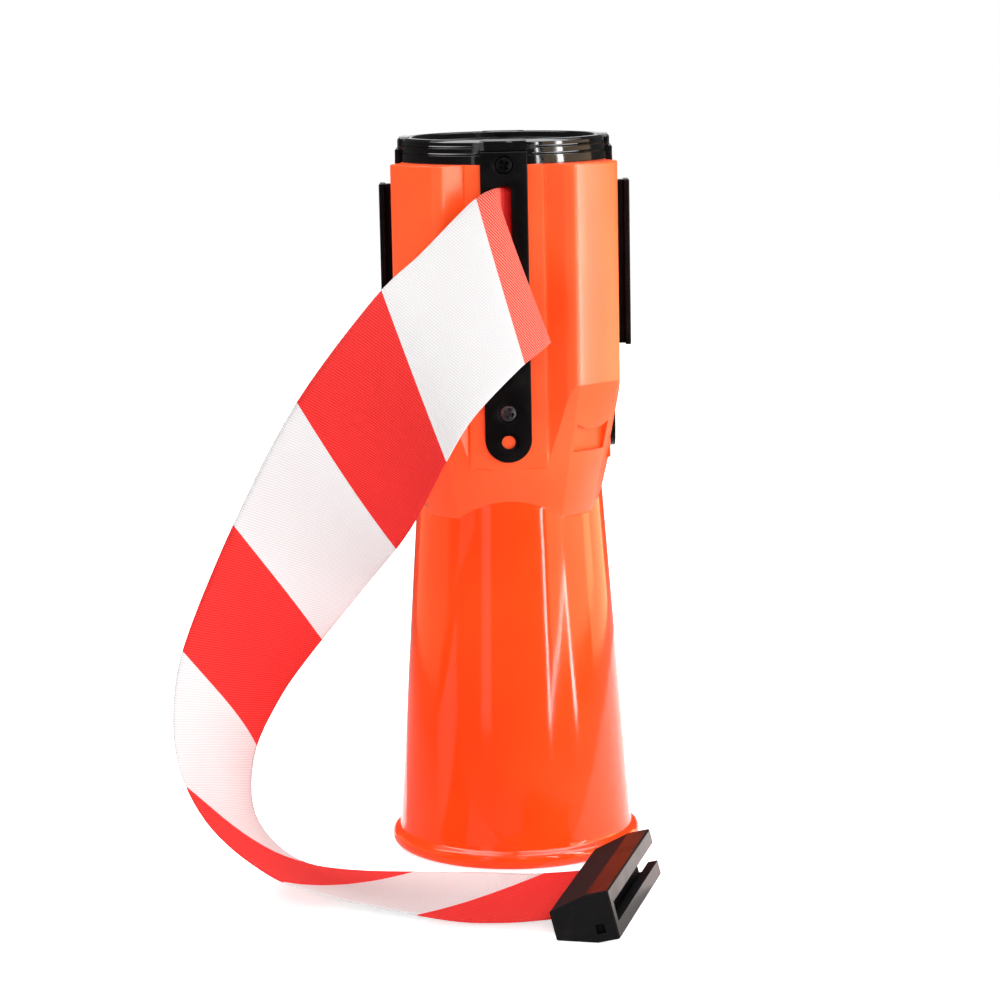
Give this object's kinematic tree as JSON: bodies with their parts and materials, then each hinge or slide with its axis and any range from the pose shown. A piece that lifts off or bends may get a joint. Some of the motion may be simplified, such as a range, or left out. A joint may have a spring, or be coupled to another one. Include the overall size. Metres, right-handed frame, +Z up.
{
  "type": "cone topper belt barrier",
  "caption": "Lobed orange topper with a flared skirt that slips over a traffic cone's tip and pays out a striped retractable belt with an end clip.",
  "frame": {"origin": "middle of the skirt's rim, on the surface that the topper stands on", "axes": "+Z up along the cone's axis, the belt's slot faces -Y, +X to the right seen from the front"},
  "size_m": [0.2253, 0.2357, 0.3484],
  "materials": {
    "orange_plastic": "moulded, glossy skirt and satin upper body",
    "black_gloss": "moulded, glossy",
    "black_satin": "moulded, satin",
    "black_matte": "moulded, fine grain",
    "black_steel": "black oxide",
    "zinc_steel": "zinc plated",
    "spring_steel": "tempered blue grey",
    "white_acetal": "moulded, natural white",
    "grey_plastic": "moulded, dark grey",
    "bronze_bush": "sintered",
    "striped_webbing": "ribbed polyester webbing with red and white diagonal stripes"
  },
  "bodies": {
    "topper": {"housing": "orange_plastic", "top_cap": "black_gloss", "outlet_plate": "black_satin", "receiver_plate_right": "black_satin", "receiver_plate_back": "black_satin", "receiver_plate_left": "black_satin", "cap_screws": "black_steel", "plate_screws": "zinc_steel", "cassette_base": "grey_plastic", "cassette_top": "grey_plastic", "cassette_posts": "grey_plastic", "cassette_screws": "zinc_steel", "reel_shaft": "zinc_steel", "shaft_clip": "spring_steel", "thrust_washer": "white_acetal", "power_spring": "spring_steel", "belt_inner_run": "striped_webbing", "belt_free": "striped_webbing", "belt_loop": "striped_webbing"},
    "reel": {"reel_hub": "white_acetal", "reel_flange": "white_acetal", "reel_bushes": "bronze_bush", "spring_cover": "grey_plastic", "belt_end_bar": "zinc_steel", "belt_roll": "striped_webbing"},
    "end_clip": {"clip_body": "black_matte", "clip_rod": "zinc_steel"}
  },
  "joints": [
    {"name": "reel_spin", "type": "hinge", "parent": "topper", "child": "reel", "pos_m": [0, 0, 0.286], "axis": [0, 0, -1], "range_deg": [-1260, 6480], "stiffness_Nm_per_rad": 0.0012},
    {"name": "clip_swing", "type": "hinge", "parent": "topper", "child": "end_clip", "pos_m": [0.03315, -0.12037, 0.00809], "axis": [0.2334, 0.9724, 0], "range_deg": [-20, 20]}
  ]
}
